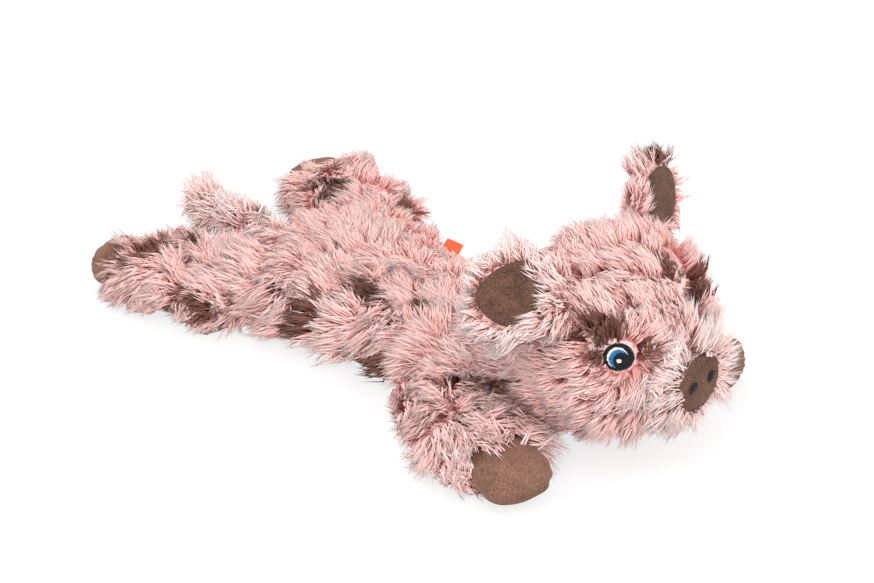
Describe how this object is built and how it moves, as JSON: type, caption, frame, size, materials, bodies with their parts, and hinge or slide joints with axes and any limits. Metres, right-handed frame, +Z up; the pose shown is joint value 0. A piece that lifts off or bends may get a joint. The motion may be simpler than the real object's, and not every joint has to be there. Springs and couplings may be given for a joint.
{
  "type": "plush pig",
  "caption": "Flat long-pile plush pig lying on its belly, with a stuffed head, embroidered eyes, padded snout, lined ears, limp legs with padded trotters and a stuffed tail.",
  "frame": {"origin": "on the flat of the belly, on the floor, under the middle of the torso", "axes": "+X to the snout, +Y to the pig's left, +Z up"},
  "size_m": [0.3974, 0.2048, 0.1431],
  "materials": {
    "pile": "long clumped pile, pale pink with a warmer root and taupe-brown spots",
    "short_pile": "short dense taupe-brown pile",
    "thread_black": "satin-stitch embroidery thread",
    "thread_white": "satin-stitch embroidery thread",
    "thread_blue": "satin-stitch embroidery thread",
    "wadding": "loose fibre fill",
    "squeaker": "thin blown plastic",
    "ribbon": "folded woven ribbon, bare"
  },
  "bodies": {
    "torso": {"back_panel": "pile", "belly_panel": "pile", "torso_wadding": "wadding", "side_label": "ribbon"},
    "neck": {"neck_collar": "pile"},
    "head": {"head_skin": "pile", "head_stuffing": "wadding", "squeaker_bulb": "squeaker", "squeaker_reed": "squeaker", "snout_pad": "short_pile", "nostril_right": "thread_black", "nostril_left": "thread_black", "eye_right_black_thread": "thread_black", "eye_right_white_thread": "thread_white", "eye_right_blue_thread": "thread_blue", "eye_right_glint": "thread_white", "eye_left_black_thread": "thread_black", "eye_left_white_thread": "thread_white", "eye_left_blue_thread": "thread_blue", "eye_left_glint": "thread_white"},
    "tail": {"tail": "pile"},
    "ear_right": {"ear_right": "pile", "ear_lining_right": "short_pile"},
    "ear_left": {"ear_left": "pile", "ear_lining_left": "short_pile"},
    "foreleg_right": {"foreleg_right": "pile"},
    "fore_trotter_right": {"fore_trotter_right": "short_pile"},
    "foreleg_left": {"foreleg_left": "pile"},
    "fore_trotter_left": {"fore_trotter_left": "short_pile"},
    "hindleg_right": {"hindleg_right": "pile"},
    "hind_trotter_right": {"hind_trotter_right": "short_pile"},
    "hindleg_left": {"hindleg_left": "pile"},
    "hind_trotter_left": {"hind_trotter_left": "short_pile"}
  },
  "joints": [
    {"name": "head_nod", "type": "hinge", "parent": "torso", "child": "neck", "pos_m": [0.148, 0.0075, 0.0595], "axis": [0, -1, 0], "range_deg": [-18, 12]},
    {"name": "head_turn", "type": "hinge", "parent": "neck", "child": "head", "pos_m": [0.148, 0.0075, 0.0595], "axis": [0, 0, 1], "range_deg": [-35, 35]},
    {"name": "ear_left_fold", "type": "hinge", "parent": "head", "child": "ear_left", "pos_m": [0.12701, 0.04775, 0.10714], "axis": [-0.2773, 0.6702, -0.6884], "range_deg": [-60, 60]},
    {"name": "ear_right_fold", "type": "hinge", "parent": "head", "child": "ear_right", "pos_m": [0.14153, -0.04319, 0.10096], "axis": [-0.5174, 0.5804, 0.6288], "range_deg": [-25, 90]},
    {"name": "foreleg_right_swing", "type": "hinge", "parent": "torso", "child": "foreleg_right", "pos_m": [0.072, -0.048, 0.0165], "axis": [-1, 0, 0], "range_deg": [-70, 25]},
    {"name": "foreleg_left_swing", "type": "hinge", "parent": "torso", "child": "foreleg_left", "pos_m": [0.072, 0.048, 0.0165], "axis": [1, 0, 0], "range_deg": [-70, 25]},
    {"name": "hindleg_right_swing", "type": "hinge", "parent": "torso", "child": "hindleg_right", "pos_m": [-0.091, -0.055, 0.0165], "axis": [-0.3007, 0.9537, 0], "range_deg": [-60, 60]},
    {"name": "hindleg_left_swing", "type": "hinge", "parent": "torso", "child": "hindleg_left", "pos_m": [-0.091, 0.055, 0.0165], "axis": [0.3007, 0.9537, 0], "range_deg": [-60, 60]},
    {"name": "fore_trotter_right_bend", "type": "hinge", "parent": "foreleg_right", "child": "fore_trotter_right", "pos_m": [0.13412, -0.07566, 0.012], "axis": [-0.4067, -0.9135, 0], "range_deg": [-45, 35]},
    {"name": "fore_trotter_left_bend", "type": "hinge", "parent": "foreleg_left", "child": "fore_trotter_left", "pos_m": [0.13412, 0.07566, 0.012], "axis": [0.4067, -0.9135, 0], "range_deg": [-45, 35]},
    {"name": "hind_trotter_right_bend", "type": "hinge", "parent": "hindleg_right", "child": "hind_trotter_right", "pos_m": [-0.15776, -0.07605, 0.012], "axis": [-0.3007, 0.9537, 0], "range_deg": [-45, 35]},
    {"name": "hind_trotter_left_bend", "type": "hinge", "parent": "hindleg_left", "child": "hind_trotter_left", "pos_m": [-0.15776, 0.07605, 0.012], "axis": [0.3007, 0.9537, 0], "range_deg": [-45, 35]},
    {"name": "tail_wag", "type": "hinge", "parent": "torso", "child": "tail", "pos_m": [-0.102, 0, 0.015], "axis": [0, 0, 1], "range_deg": [-22, 22]}
  ]
}
